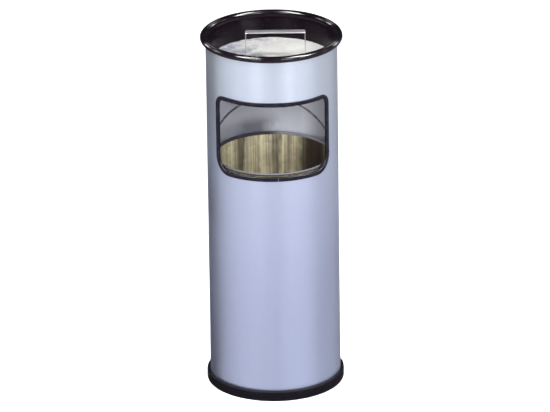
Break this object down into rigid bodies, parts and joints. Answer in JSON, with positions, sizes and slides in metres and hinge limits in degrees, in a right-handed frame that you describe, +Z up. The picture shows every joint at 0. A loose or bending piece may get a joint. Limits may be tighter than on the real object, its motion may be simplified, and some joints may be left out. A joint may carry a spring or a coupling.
{
  "type": "litter bin",
  "caption": "Round free-standing litter bin with a front opening, lift-off sand ash bowl with a butt sieve on top, and a removable galvanised liner with a wire bail.",
  "frame": {"origin": "middle of the footprint, on the floor that the base ring stands on", "axes": "+Z up along the bin's axis; the opening faces -Y; +X to the right seen from the front"},
  "size_m": [0.25, 0.25, 0.653],
  "materials": {
    "shell_paint": "satin metallic silver-lilac paint",
    "black_rubber": "semi-gloss black",
    "black_trim": "semi-gloss black edge profile",
    "black_enamel": "high-gloss black enamel",
    "sand": "loose pale quartz sand",
    "sieve_steel": "plain",
    "galvanised": "galvanised, warm grey, drawn streaks",
    "bail_wire": "galvanised wire"
  },
  "bodies": {
    "body": {"body_shell": "shell_paint", "body_floor": "shell_paint", "base_ring": "black_rubber", "opening_trim": "black_trim"},
    "bowl": {"ash_bowl": "black_enamel", "sand_bed": "sand"},
    "sieve": {"sieve_plate": "sieve_steel", "sieve_handle": "sieve_steel", "sieve_rivets": "sieve_steel"},
    "liner": {"liner_wall": "galvanised", "liner_floor": "galvanised", "liner_rim_wire": "galvanised", "liner_ear_left": "galvanised", "liner_ear_right": "galvanised", "liner_ear_rivets": "galvanised"},
    "bail": {"liner_bail": "bail_wire"}
  },
  "joints": [
    {"name": "bowl_lift", "type": "slide", "parent": "body", "child": "bowl", "axis": [0, 0, 1], "range_m": [0, 0.7]},
    {"name": "sieve_lift", "type": "slide", "parent": "bowl", "child": "sieve", "axis": [0, 0, 1], "range_m": [0, 0.12], "deforming": ["sand_bed"]},
    {"name": "liner_lift", "type": "slide", "parent": "body", "child": "liner", "axis": [0, 0, 1], "range_m": [0, 0.63]},
    {"name": "bail_swing", "type": "hinge", "parent": "liner", "child": "bail", "pos_m": [0, 0, 0.418], "axis": [0.9877, -0.1564, 0], "range_deg": [-90, 90]}
  ],
  "couplings": [
    {"joint": "liner_lift", "follows": "bowl_lift", "ratio": 0.9}
  ]
}
